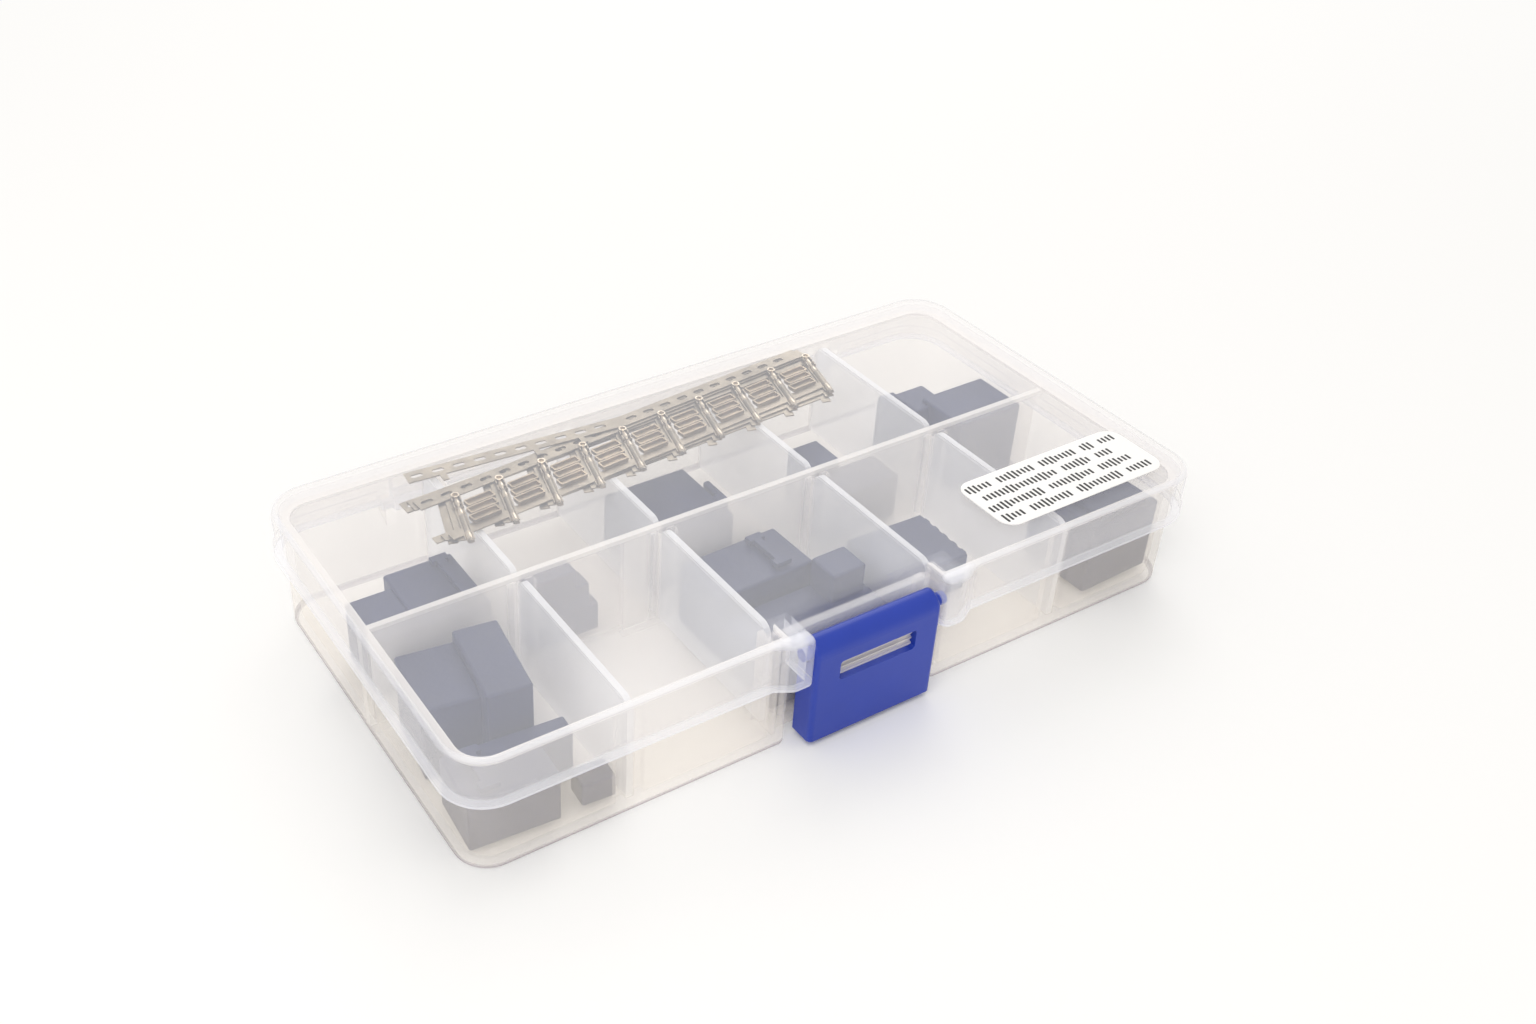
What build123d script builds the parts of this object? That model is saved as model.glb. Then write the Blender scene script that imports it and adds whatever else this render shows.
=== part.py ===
"""Ten-compartment parts box with a hinged lid and a front latch, holding crimp-connector housings.

Millimetres. +X runs along the box, +Y points to the hinge side and +Z up.
The origin is the centre of the tray's underside.
"""
import math
import os

from build123d import *

# Tray
tray_height = 19.4
tray_corner = 5.2
tray_wall = 1.2
floor_thickness = 1.3
foot_round = 0.5

# Compartments: five columns by two rows
middle_column_pitch = 28.8      # between the two dividers beside the middle column
side_column_pitch = 24.4        # from those dividers to the outer ones
end_column = 23.8               # from an outer divider's centre to the tray's end wall
row_depth = 31.0                # from the central wall to the front or back wall
divider_thickness = 1.0
divider_drop = 0.5              # divider top below the tray's rim
divider_round = 2.0
divider_play = 0.15
end_play = 0.2
central_wall = 1.0
guide_width = 1.6
guide_reach = 1.0
guide_drop = 0.7                # guide top below the divider top

# Lid
lid_side_gap = 0.4
lid_front_gap = 0.5
lid_wall = 1.0
lid_plate = 1.0
lid_headroom = 1.5              # from the divider tops to the underside of the plate
lid_round = 1.2
skirt_height = 8.3
rim_band = 0.3
rim_band_height = 2.1

# Latch recess in tray and lid
latch_width = 22.4
latch_side_gap = 0.4
ear_width = 3.5
ear_projection = 1.8
ear_flare = 3.2
tray_recess = 3.0
plate_recess = 4.6              # lid plate's edge behind the lid's front
lip_projection = 1.6
lip_drop = 2.2                  # lip top below the lid's top
lip_height = 4.0
lip_clearance = 0.4

# Latch
latch_thickness = 1.8
latch_flange = 1.2
latch_box_depth = 4.0           # front face to the back of the flanges
latch_foot = 1.0                # latch bottom above the table
latch_setback = 0.6             # latch face behind the ears' faces
hub_depth = 3.5
hub_height = 3.4
hub_rise = 1.8                  # hub top above the pivot axis
latch_shoulder = 2.6            # rounding from the front face into the top
latch_corner = 0.8
window_corner = 0.5
trunnion_radius = 1.0
trunnion_play = 0.06
pivot_drop = 4.4                # pivot axis below the lid's top
window_length = 13.6
window_height = 3.4
window_drop = 2.5               # window top below the pivot axis
catch_gap = 0.3
catch_setback = 0.6             # catch nose behind the latch's face
catch_groove = 0.35

# Rear hinge
hinge_station = 40.0
hinge_pin_radius = 0.9
hinge_play = 0.06
hinge_drop = 1.1                # axis below the skirt's lower edge
hinge_standoff = 2.0            # axis behind the tray's back wall
arm_width = 6.4
arm_knuckle = 1.5
arm_thickness = 2.1
lug_gap = 0.4
lug_width = 1.8
lug_radius = 1.7
hinge_notch_height = 2.1
hinge_notch_gap = 0.5

# Label
label_length = 33.0
label_width = 12.4
label_thickness = 0.15
label_corner = 2.6
label_side_margin = 4.6
label_front_margin = 4.0

# Crimp-terminal strips
strip_pitch = 8.0
strip_terminals = 10
strip_sheet = 0.2
strip_layer = 0.26              # rise from one strip to the next
carrier_width = 2.8
pilot_pitch = 3.55
pilot_length = 2.0
pilot_width = 0.9
strip_lead = 5.9                # from the carrier's left end to the first terminal
strip_tail = 0.7                # from the last terminal to the carrier's right end
rail_tail = 3.4                 # front rail's end short of the carrier's
terminal_length = 11.2
terminal_width = 1.5
terminal_lean = 20.0
barrel_radius = 0.5
wing_height = 0.62
wing_length = 1.3
barrel_overhang = 0.9
stub_length = 1.6
front_rail_width = 1.6
rail_inset = 2.2                # front rail's centre behind the terminals' tips
strip_back_margin = 1.2
offcut_span = 38.0              # each half of the bent offcut
offcut_knee = 9.5
lower_strip_place = (-1.6, -5.9, 3.0)       # offsets along X and Y from the corner of the pile, and the turn
middle_strip_place = (-0.5, -6.3, 4.0)
upper_strip_place = (0.2, -7.0, 5.5)
offcut_place = (1.7, 0.1, -4.3)

# Connector housings
housing_round = 0.4
cavity_size = 1.9
cavity_pitch = 2.9
cavity_floor = 2.0
lever_width = 1.4
lever_gap = 0.4
lever_thickness = 0.8
grip_teeth = 5
contents_gap = 0.5
low_depth = 10.0
key_width = 5.2
key_gap = 3.6                   # between the low housing and the small one beside it
tall_gap = 5.6                  # between the low housing and the tall one behind it
header_depth = 13.2
header_end_gap = 1.4
header_gap = 1.6                # between the header and the housing behind it

# Derived places
inner_divider = middle_column_pitch / 2
outer_divider = inner_divider + side_column_pitch
divider_places = [-outer_divider, -inner_divider, inner_divider, outer_divider]
inner_x = outer_divider + end_column
inner_y = row_depth + central_wall / 2
tray_length = 2 * (inner_x + tray_wall)
tray_depth = 2 * (inner_y + tray_wall)
back_wall = tray_depth / 2
front_wall = -tray_depth / 2
divider_top = tray_height - divider_drop
plate_under = divider_top + lid_headroom
lid_top = plate_under + lid_plate
lid_half_length = tray_length / 2 + lid_side_gap + lid_wall
lid_half_depth = tray_depth / 2 + lid_front_gap + lid_wall
lid_corner = tray_corner + lid_wall + lid_side_gap
skirt_bottom = lid_top - skirt_height
ear_inner = latch_width / 2 + latch_side_gap
ear_face = -lid_half_depth - ear_projection
plate_edge = -lid_half_depth + plate_recess
lip_face = plate_edge - lip_projection
lip_top = lid_top - lip_drop
tray_recess_half = ear_inner + lid_wall + lid_front_gap
tray_recess_face = front_wall + tray_recess
tray_recess_top = lip_top - lid_wall - lip_clearance
latch_face = ear_face + latch_setback
pivot_z = lid_top - pivot_drop
pivot_y = latch_face + hub_depth / 2
hinge_y = back_wall + hinge_standoff
hinge_z = skirt_bottom - hinge_drop
lug_centre = arm_width / 2 + lug_gap + lug_width / 2
notch_half = lug_centre + lug_width / 2 + hinge_notch_gap
strip_length = strip_lead + (strip_terminals - 1) * strip_pitch + strip_tail


def span_box(x0, x1, y0, y1, z0, z1):
    """A box between two opposite corners."""
    centre = Pos((x0 + x1) / 2, (y0 + y1) / 2, (z0 + z1) / 2)
    return centre * Box(x1 - x0, y1 - y0, z1 - z0)


def slab(outline, z0, z1):
    """A plan outline extruded from z0 to z1."""
    return Pos(0, 0, z0) * extrude(outline, z1 - z0)


def side_slab(profile, x0, x1):
    """A profile given as (y, z) points, extruded along X."""
    face = make_face(Polyline(*[(0, y, z) for y, z in profile], close=True))
    return Pos(x0, 0, 0) * extrude(face, x1 - x0, dir=(1, 0, 0))


def cross_pin(radius, y, z, x0, x1):
    """A round pin along X."""
    return Pos((x0 + x1) / 2, y, z) * Rot(0, 90, 0) * Cylinder(radius, x1 - x0)


def at_corner(shape, x, y):
    """Vertices of a plan outline at (x, y) and at (-x, y)."""
    return [v for v in shape.vertices() if abs(abs(v.X) - x) < 0.01 and abs(v.Y - y) < 0.01]


def tray_outline(inset):
    """The tray's plan, moved inwards by the inset, with the recess behind the latch."""
    plan = RectangleRounded(tray_length - 2 * inset, tray_depth - 2 * inset, tray_corner - inset)
    half = tray_recess_half + inset
    face = tray_recess_face + inset
    edge = front_wall + inset
    plan -= Pos(0, edge) * Rectangle(2 * half, 2 * (face - edge))
    plan = fillet(at_corner(plan, half, edge), 1.4 if inset == 0 else 0.4)
    return fillet(at_corner(plan, half, face), 0.6 if inset == 0 else 0.8)


def guide_pair(x, y, direction, root=0.0):
    """Two ribs that hold a divider's end: they stand on a wall face at y and reach along direction."""
    ribs = []
    top = divider_top - guide_drop
    for side in (-1, 1):
        near = x + side * (divider_thickness / 2 + divider_play)
        far = near + side * guide_width
        low, high = sorted((y - direction * root, y + direction * guide_reach))
        rib = span_box(min(near, far), max(near, far), low, high, floor_thickness / 2, top)
        ribs.append(fillet(rib.edges().group_by(Axis.Z)[-1], guide_width / 4))
    return ribs


def divider_guides():
    """Guide ribs on the outer walls, the central wall and the recess wall."""
    ribs = []
    for x in divider_places:
        ribs += guide_pair(x, central_wall / 2, 1, central_wall / 2)
        ribs += guide_pair(x, -central_wall / 2, -1, central_wall / 2)
        ribs += guide_pair(x, inner_y, -1, tray_wall / 2)
    for x in (-outer_divider, outer_divider):
        ribs += guide_pair(x, -inner_y, 1, tray_wall / 2)
    recess_inner = tray_recess_face + tray_wall
    for side in (-1, 1):
        near = inner_divider - divider_thickness / 2 - divider_play
        x0, x1 = sorted((side * (near - guide_width), side * near))
        ribs.append(span_box(x0, x1, recess_inner - tray_wall / 2, recess_inner + guide_reach,
                             floor_thickness / 2, tray_recess_top - guide_drop))
        near = inner_divider + divider_thickness / 2 + divider_play
        x0, x1 = sorted((side * near, side * (near + guide_width / 2)))
        fin = span_box(x0, x1, -inner_y - tray_wall / 2, recess_inner + guide_reach,
                       floor_thickness / 2, divider_top - guide_drop)
        ribs.append(fin)
    return ribs


def catch_nose():
    """The grooved bar on the tray that the latch's window closes over."""
    top = pivot_z - window_drop - catch_gap
    bottom = top - window_height + 2 * catch_gap
    half = window_length / 2 - catch_gap
    tip = latch_face + catch_setback
    nose = span_box(-half, half, tip, tray_recess_face + tray_wall / 2, bottom, top)
    nose = fillet(nose.edges().filter_by(Axis.X).group_by(Axis.Y)[0], catch_groove)
    for third in (1, 2):
        z = bottom + third * (top - bottom) / 3
        nose -= cross_pin(catch_groove, tip, z, -half, half)
    return nose


def hinge_lugs():
    """Four drilled lugs on the tray's back wall, two at each hinge station."""
    root = back_wall - tray_wall / 2
    bracket = [
        (root, hinge_z - 2 * lug_radius),
        (root, hinge_z + 0.8 * lug_radius),
        (hinge_y, hinge_z + lug_radius),
        (hinge_y, hinge_z - lug_radius),
    ]
    lugs = []
    for station in (-hinge_station, hinge_station):
        for side in (-lug_centre, lug_centre):
            x0 = station + side - lug_width / 2
            x1 = x0 + lug_width
            lug = side_slab(bracket, x0, x1) + cross_pin(lug_radius, hinge_y, hinge_z, x0, x1)
            lugs.append(lug - cross_pin(hinge_pin_radius + hinge_play, hinge_y, hinge_z, x0 - 1, x1 + 1))
    return lugs


def base_tray():
    """Floor, walls, central wall, guides, catch nose and hinge lugs in one moulding."""
    shell = slab(tray_outline(0), 0, tray_height)
    shell = fillet(shell.edges().group_by(Axis.Z)[0], foot_round)
    tray = shell - slab(tray_outline(tray_wall), floor_thickness, tray_height)
    recess_cut = tray_recess_half + tray_wall / 2
    tray -= span_box(-recess_cut, recess_cut, front_wall, tray_recess_face + tray_wall + 0.1,
                     tray_recess_top, tray_height)
    wall = span_box(-inner_x - tray_wall / 2, inner_x + tray_wall / 2, -central_wall / 2, central_wall / 2,
                    floor_thickness / 2, divider_top)
    for piece in [wall, catch_nose(), *divider_guides(), *hinge_lugs()]:
        tray += piece
    return tray


def divider(x, row):
    """One slide-in plate; row is 1 behind the central wall and -1 in front of it."""
    near = central_wall / 2 + end_play
    far = inner_y - end_play
    if row < 0 and abs(x) < outer_divider:
        far = -(tray_recess_face + tray_wall) - end_play
    y0, y1 = sorted((row * near, row * far))
    half = divider_thickness / 2
    plate = span_box(x - half, x + half, y0, y1, floor_thickness, divider_top)
    top_ends = plate.edges().filter_by(Axis.X).group_by(Axis.Z)[-1]
    return fillet(top_ends, divider_round)


def lid_outline():
    """The lid's plan: rounded rectangle, ears flaring out beside the latch, and the recess between them."""
    plan = RectangleRounded(2 * lid_half_length, 2 * lid_half_depth, lid_corner)
    front = -lid_half_depth
    outer = ear_inner + ear_width
    flare = outer + ear_flare
    for side in (-1, 1):
        corners = [
            (side * ear_inner, front + lid_wall),
            (side * ear_inner, ear_face),
            (side * outer, ear_face),
            (side * flare, front),
            (side * flare, front + lid_wall),
        ]
        plan += make_face(Polyline(*corners, close=True))
    plan -= Pos(0, ear_face) * Rectangle(2 * ear_inner, 2 * (plate_edge - ear_face))
    plan = fillet(at_corner(plan, ear_inner, ear_face), 1.3 * lid_wall)
    plan = fillet(at_corner(plan, outer, ear_face), 2.0)
    return fillet(at_corner(plan, flare, front), 2.5)


def latch_lip():
    """The rounded lip below the plate's edge that bridges the two ears, and the space under it."""
    reach = ear_inner + lid_wall / 2
    bottom = lip_top - lip_height
    outer = span_box(-reach, reach, lip_face, plate_edge + lid_wall, bottom, lip_top)
    top_front = outer.edges().filter_by(Axis.X).group_by(Axis.Y)[0].sort_by(Axis.Z)[-1]
    outer = fillet(top_front, lip_projection * 0.9)
    under = ear_inner + lid_wall
    inner = span_box(-under, under, lip_face + lid_wall, plate_edge + 2 * lid_wall, skirt_bottom,
                     lip_top - lid_wall)
    return outer, inner


def hinge_arm(station):
    """One arm on the lid's back skirt with its knuckle and a pin on each side."""
    inner = lid_half_depth - lid_wall / 4
    outer = lid_half_depth + arm_thickness - lid_wall / 4
    top = skirt_bottom + 0.6 * skirt_height
    profile = [(inner, hinge_z), (outer, hinge_z), (outer, top - arm_thickness), (inner, top)]
    x0 = station - arm_width / 2
    x1 = station + arm_width / 2
    pin_end = lug_gap + lug_width - 0.2
    arm = side_slab(profile, x0, x1)
    arm += cross_pin(arm_knuckle, hinge_y, hinge_z, x0, x1)
    return arm + cross_pin(hinge_pin_radius, hinge_y, hinge_z, x0 - pin_end, x1 + pin_end)


def lid():
    """Plate, skirt with rim band, latch ears and lip, and two hinge arms in one moulding."""
    plan = lid_outline()
    shell = slab(plan, skirt_bottom, lid_top)
    shell = fillet(shell.edges().group_by(Axis.Z)[-1], lid_round)
    band_plan = RectangleRounded(2 * (lid_half_length + rim_band), 2 * (lid_half_depth + rim_band),
                                 lid_corner + rim_band)
    band_plan -= Pos(0, ear_face) * Rectangle(2 * ear_inner, 2 * (plate_edge - ear_face))
    shell += slab(band_plan, skirt_bottom, skirt_bottom + rim_band_height)
    shell -= slab(offset(plan, -lid_wall), skirt_bottom, plate_under)
    lip, under_lip = latch_lip()
    shell = shell + lip - under_lip
    ear_end = ear_inner + ear_width
    shell -= cross_pin(trunnion_radius + trunnion_play, pivot_y, pivot_z, -ear_end, ear_end)
    for station in (-hinge_station, hinge_station):
        shell -= span_box(station - notch_half, station + notch_half, lid_half_depth - 2 * lid_wall,
                          lid_half_depth + 2 * rim_band, skirt_bottom, skirt_bottom + hinge_notch_height)
        shell += hinge_arm(station)
    return shell


def latch():
    """Front plate with flanges behind it, a hub along its top and a trunnion on each side."""
    half = latch_width / 2
    hub_top = pivot_z + hub_rise
    hub_bottom = hub_top - hub_height
    back = latch_face + latch_box_depth
    plate_back = latch_face + latch_thickness
    box_top = hub_bottom - 0.6
    body = span_box(-half, half, latch_face, back, latch_foot, box_top)
    body += span_box(-half, half, latch_face, plate_back, latch_foot, hub_top)
    hollow = half - latch_flange
    body -= span_box(-hollow, hollow, plate_back, back, latch_foot + latch_flange, box_top)
    hub = span_box(-half, half, latch_face, latch_face + hub_depth, hub_bottom, hub_top)
    body += fillet(hub.edges().filter_by(Axis.X).group_by(Axis.Y)[-1], hub_depth / 4)
    front_top = body.edges().filter_by(Axis.X).group_by(Axis.Y)[0].sort_by(Axis.Z)[-1]
    body = fillet(front_top, latch_shoulder)
    uprights = body.edges().filter_by(Axis.Z).group_by(Axis.Y)[0]
    body = fillet(uprights, latch_corner)
    window_top = pivot_z - window_drop
    window = window_length / 2
    opening = span_box(-window, window, latch_face, back, window_top - window_height, window_top)
    body -= fillet(opening.edges().filter_by(Axis.Y), window_corner)
    pin_end = half + latch_side_gap + lid_wall
    return body + cross_pin(trunnion_radius, pivot_y, pivot_z, -pin_end, pin_end)


def lid_label():
    """A thin label on the lid, over the right-hand front compartments."""
    x = lid_half_length - label_side_margin - label_length / 2
    y = -lid_half_depth + label_front_margin + label_width / 2
    plan = Pos(x, y) * RectangleRounded(label_length, label_width, label_corner)
    return slab(plan, lid_top, lid_top + label_thickness)


def carrier(length):
    """A slotted carrier ribbon from x = 0, centred on y = 0, resting on z = 0."""
    ribbon = span_box(0, length, -carrier_width / 2, carrier_width / 2, 0, strip_sheet)
    count = int(length / pilot_pitch)
    for i in range(count):
        hole = Pos((i + 0.5) * pilot_pitch, 0) * SlotOverall(pilot_length, pilot_width)
        ribbon -= slab(hole, -strip_sheet, 2 * strip_sheet)
    return ribbon


def terminal(formed):
    """One terminal hanging from y = 0: a blank tail, or also four wings and a rolled barrel."""
    tip = -terminal_length
    half = terminal_width / 2
    tail = span_box(-half, half, tip, strip_sheet, 0, strip_sheet)
    if not formed:
        return tail
    for side in (-1, 1):
        for place in (0.08, 0.24):
            x0, x1 = sorted((side * half, side * (half - strip_sheet)))
            y = place * tip
            tail += span_box(x0, x1, y - wing_length / 2, y + wing_length / 2, 0, wing_height)
    back = 0.36 * tip
    length = back - tip + barrel_overhang
    roll = Pos(0, back - length / 2, strip_sheet) * Rot(90, 0, 0) * Cylinder(barrel_radius, length)
    return tail + (roll - span_box(-half, half, tip - barrel_overhang, back, -barrel_radius, strip_sheet / 2))


def laid_in(metal, layer, place):
    """Lay a ribbon on the divider tops in its layer, at its offsets from the pile and with its turn."""
    across, along, turn = place
    x = -outer_divider - strip_lead + across
    y = inner_y - strip_back_margin - carrier_width / 2 + along
    return Pos(x, y, divider_top + layer * strip_layer) * Rot(0, 0, turn) * metal


def terminal_strip(formed=False):
    """A flat strip of leaning terminals, with its carrier's left end at x = 0."""
    strip = carrier(strip_length)
    root = -carrier_width / 2
    lean = math.radians(terminal_lean)
    rail_y = root - (terminal_length - rail_inset) * math.cos(lean)
    half = front_rail_width / 2
    strip += span_box(0, strip_length - rail_tail, rail_y - half, rail_y + half, 0, strip_sheet)
    for i in range(strip_terminals):
        strip += Pos(strip_lead + i * strip_pitch, root) * Rot(0, 0, -terminal_lean) * terminal(formed)
    return strip


def bare_carrier():
    """A carrier whose terminals were cut off but for three stubs, with a slight knee half-way."""
    ribbon = carrier(offcut_span)
    edge = -carrier_width / 2
    for i in (0, 2, 3):
        stub = (i + 0.7) * strip_pitch
        ribbon += span_box(stub - 0.5, stub + 0.5, edge - stub_length, edge + strip_sheet, 0, strip_sheet)
    return ribbon + Pos(offcut_span - strip_sheet, 0) * Rot(0, 0, offcut_knee) * carrier(offcut_span)


def block(x0, x1, y0, y1, height):
    """A moulded block with softened upright and top edges, standing on z = 0."""
    solid = span_box(x0, x1, y0, y1, 0, height)
    return fillet(solid.edges().filter_by(Axis.Z) + solid.edges().group_by(Axis.Z)[-1], housing_round)


def cavities(width, depth, height):
    """Terminal cavities, open on the wire side at +Y, for a block of this size."""
    ways = int((width - 1) / cavity_pitch)
    rows = int((height - 1) / cavity_pitch)
    holes = []
    for i in range(ways):
        for k in range(rows):
            x = (i - (ways - 1) / 2) * cavity_pitch
            z = height / 2 + (k - (rows - 1) / 2) * cavity_pitch
            holes.append(Pos(x, cavity_floor, z) * Box(cavity_size, depth, cavity_size))
    return holes


def lock_lever(x, depth, height):
    """A lock lever along the depth, joined to the housing's top at its back end, with a bar at each end."""
    low = height + lever_gap
    high = low + lever_thickness
    front = -depth / 2 + 1
    back = depth / 2 - 1
    half = lever_width / 2
    lever = span_box(x - half, x + half, front, back, low, high)
    lever += span_box(x - lever_width, x + lever_width, front, front + lever_width, low, high)
    lever += span_box(x - lever_width, x + lever_width, back - lever_width, back, low, high)
    foot = span_box(x - half, x + half, back - lever_width, back, height - lever_gap, low + lever_gap / 2)
    return lever + foot


def connector_housing(width, depth, height, steps=(), lever=None):
    """A crimp housing: a main block with cavities, joined blocks and an optional lock lever.

    Each step gives its distance inside the main block's left, right, front and back faces and its rise
    above the main block's top; a negative distance stands out past the face.
    """
    w = width / 2
    d = depth / 2
    housing = block(-w, w, -d, d, height)
    for left, right, front, back, rise in steps:
        housing += block(left - w, w - right, front - d, d - back, height + rise)
    for hole in cavities(width, depth, height):
        housing -= hole
    if lever is not None:
        housing += lock_lever(lever, depth, height)
    return housing


def column_span(column):
    """Left and right faces of a compartment column, counted 1 to 5 from the left."""
    faces = [-inner_x, *divider_places, inner_x]
    thick = divider_thickness / 2
    left = faces[column - 1] + (thick if column > 1 else 0)
    right = faces[column] - (thick if column < 5 else 0)
    return left + contents_gap, right - contents_gap


def row_span(column, row):
    """Front and back limits for what lies in a compartment; row is 1 behind the central wall, -1 in front."""
    margin = contents_gap + guide_reach
    if row > 0:
        return central_wall / 2 + margin, inner_y - margin
    front = tray_recess_face + tray_wall if column == 3 else -inner_y
    return front + margin, -central_wall / 2 - margin


def stow(housing, column, row, across, along, turn=0.0):
    """Lay a housing in a compartment; across and along run from 0 to 1 over the free space."""
    housing = Rot(0, 0, turn) * housing
    box = housing.bounding_box()
    left, right = column_span(column)
    front, back = row_span(column, row)
    x = left + across * (right - left - box.size.X) - box.min.X
    y = front + along * (back - front - box.size.Y) - box.min.Y
    return Pos(x, y, floor_thickness) * housing


def grip_ribs(width, depth, height):
    """Small upright grip ribs on a housing's right side."""
    pitch = (depth - 2 * housing_round) / grip_teeth
    rib = Box(2 * housing_round, pitch / 2, height - housing_round)
    z = (height - housing_round) / 2
    return [Pos(width / 2, (i - (grip_teeth - 1) / 2) * pitch, z) * rib for i in range(grip_teeth)]


def front_housings():
    """Housings of the front row, by node name."""
    left, right = column_span(1)
    front, back = row_span(1, -1)
    low_width = right - left - key_width - key_gap
    tall = connector_housing(15.4, back - front - low_depth - tall_gap, 12.6, [(8.6, 0, -2.6, 0, 2.0)])
    low_steps = [(low_width - 1.5, -5.0, low_depth - 3.4, 0, 0)]
    low = connector_housing(low_width, low_depth, 8.4, low_steps, lever=-3.0)
    key = connector_housing(key_width, 4.0, 3.6)
    left, right = column_span(3)
    front, back = row_span(3, -1)
    header_width = right - left - 2 * header_end_gap
    header_steps = [(0, 0, 0, header_depth - 1.5, 0.6), (header_width - 7.6, 1.3, header_depth - 5.6, 0, 5.1)]
    header = connector_housing(header_width, header_depth, 7.6, header_steps)
    levered = connector_housing(18.0, back - front - header_depth - header_gap, 10.7, lever=4.0)
    flat = connector_housing(15.0, 12.4, 6.6)
    for rib in grip_ribs(15.0, 12.4, 6.6):
        flat += rib
    deep = connector_housing(14.4, 13.4, 12.6, [(2.2, 2.2, 0.7, 4.7, 1.0)])
    return {
        "housing_front_1_tall": stow(tall, 1, -1, 0.12, 1.0, -8),
        "housing_front_1_low": stow(low, 1, -1, 0.0, 0.0, -4),
        "housing_front_1_key": stow(key, 1, -1, 1.0, 0.0, -4),
        "housing_front_3_lever": stow(levered, 3, -1, 0.12, 1.0, 2),
        "housing_front_3_header": stow(header, 3, -1, 0.5, 0.0, 1),
        "housing_front_4_flat": stow(flat, 4, -1, 0.2, 0.71, -2),
        "housing_front_5_deep": stow(deep, 5, -1, 0.95, 0.0, 2),
    }


def back_housings():
    """Housings of the back row, by node name."""
    stepped = connector_housing(11.4, 14.0, 10.6, [(-7.4, 10.9, 0.5, 2.6, -0.6)], lever=3.0)
    upright = connector_housing(12.0, 3.6, 5.0, [(0, 1.6, 0, 0, 4.4), (0, 3.8, 0, 0, 7.6)])
    hooked = connector_housing(15.4, 15.4, 9.6, [(14.9, -1.7, 4.1, 9.3, 0.2), (15.9, -1.7, 4.1, 5.3, 0.2)])
    wing = connector_housing(15.6, 7.2, 8.2, [(1.8, 7.8, 6.4, -6.0, 2.2)])
    stair_steps = [(-2.8, 9.8, 8.2, -4.4, -0.8), (-4.8, 14.8, 11.4, -6.2, -1.6)]
    stair = connector_housing(13.6, 10.4, 13.0, stair_steps)
    return {
        "housing_back_1_stepped": stow(stepped, 1, 1, 0.6, 0.15),
        "housing_back_2_upright": stow(upright, 2, 1, 0.17, 0.0),
        "housing_back_3_hooked": stow(hooked, 3, 1, 0.12, 0.25),
        "housing_back_4_wing": stow(wing, 4, 1, 0.55, 0.0),
        "housing_back_5_stair": stow(stair, 5, 1, 1.0, 0.1),
    }


def main():
    """Build every node and write its STEP file."""
    nodes = {"base_tray": base_tray(), "lid": lid(), "latch": latch(), "label": lid_label()}
    for row, name in ((-1, "front"), (1, "back")):
        for number, x in enumerate(divider_places, 1):
            nodes[f"divider_{name}_{number}"] = divider(x, row)
    nodes["terminal_strip_lower"] = laid_in(terminal_strip(), 0, lower_strip_place)
    nodes["terminal_strip_middle"] = laid_in(terminal_strip(), 1, middle_strip_place)
    nodes["terminal_strip_upper"] = laid_in(terminal_strip(formed=True), 2, upper_strip_place)
    nodes["carrier_offcut"] = laid_in(bare_carrier(), 3, offcut_place)
    nodes.update(front_housings())
    nodes.update(back_housings())
    os.makedirs("parts", exist_ok=True)
    for name, solid in nodes.items():
        export_step(solid, f"parts/{name}.step")


main()
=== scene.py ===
"""Looks of the ten-compartment parts box: finishes, label printing, formed terminals and a studio."""
import math

import bpy
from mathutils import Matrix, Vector


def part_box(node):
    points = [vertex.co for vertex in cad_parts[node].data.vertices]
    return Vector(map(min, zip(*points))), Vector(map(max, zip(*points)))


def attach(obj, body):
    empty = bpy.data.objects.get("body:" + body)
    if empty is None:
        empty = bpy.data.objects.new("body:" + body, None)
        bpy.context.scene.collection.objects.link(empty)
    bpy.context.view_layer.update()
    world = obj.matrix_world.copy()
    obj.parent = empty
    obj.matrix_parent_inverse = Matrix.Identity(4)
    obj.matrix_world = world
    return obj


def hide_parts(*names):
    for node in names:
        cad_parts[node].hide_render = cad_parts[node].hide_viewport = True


bl_info = {
    "name": "Compartment Parts Box",
    "version": (1, 0, 0),
    "blender": (4, 5, 0),
    "location": "3D View > Sidebar > Parts Box",
    "description": "Finishes and details for a translucent parts box with a hinged lid and a latch",
    "category": "Object",
}

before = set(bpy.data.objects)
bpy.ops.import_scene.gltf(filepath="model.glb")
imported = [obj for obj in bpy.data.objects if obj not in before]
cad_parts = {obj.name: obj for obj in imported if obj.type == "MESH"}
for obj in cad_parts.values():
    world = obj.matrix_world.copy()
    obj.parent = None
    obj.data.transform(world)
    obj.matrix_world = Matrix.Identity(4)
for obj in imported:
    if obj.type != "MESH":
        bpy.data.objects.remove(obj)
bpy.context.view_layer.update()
MM = 0.001
PAST_ALL = 1.0  # metres: half size of a zone that reaches past the whole box


def nodes_named(start):
    """CAD node names that begin with the given word."""
    return sorted(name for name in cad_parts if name.startswith(start))


# Sizes and colours ---------------------------------------------------------------------------------------


def colour(name, text, value):
    """A colour property."""
    return bpy.props.FloatVectorProperty(
        name=name, description=text, subtype="COLOR", size=3, min=0, max=1, default=value)


def share(name, text, value):
    """A property from 0 to 1."""
    return bpy.props.FloatProperty(
        name=name, description=text, subtype="FACTOR", min=0, max=1, default=value)


def length(name, text, value):
    """A length property, given in metres."""
    return bpy.props.FloatProperty(
        name=name, description=text, subtype="DISTANCE", unit="LENGTH", min=0, precision=5,
        default=value)


def angle(name, text, value):
    """An angle property, given in degrees."""
    return bpy.props.FloatProperty(
        name=name, description=text, subtype="ANGLE", default=math.radians(value))


def amount(name, text, value, unit="NONE"):
    """A number property from 0 up."""
    return bpy.props.FloatProperty(name=name, description=text, unit=unit, min=0, default=value)


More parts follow.
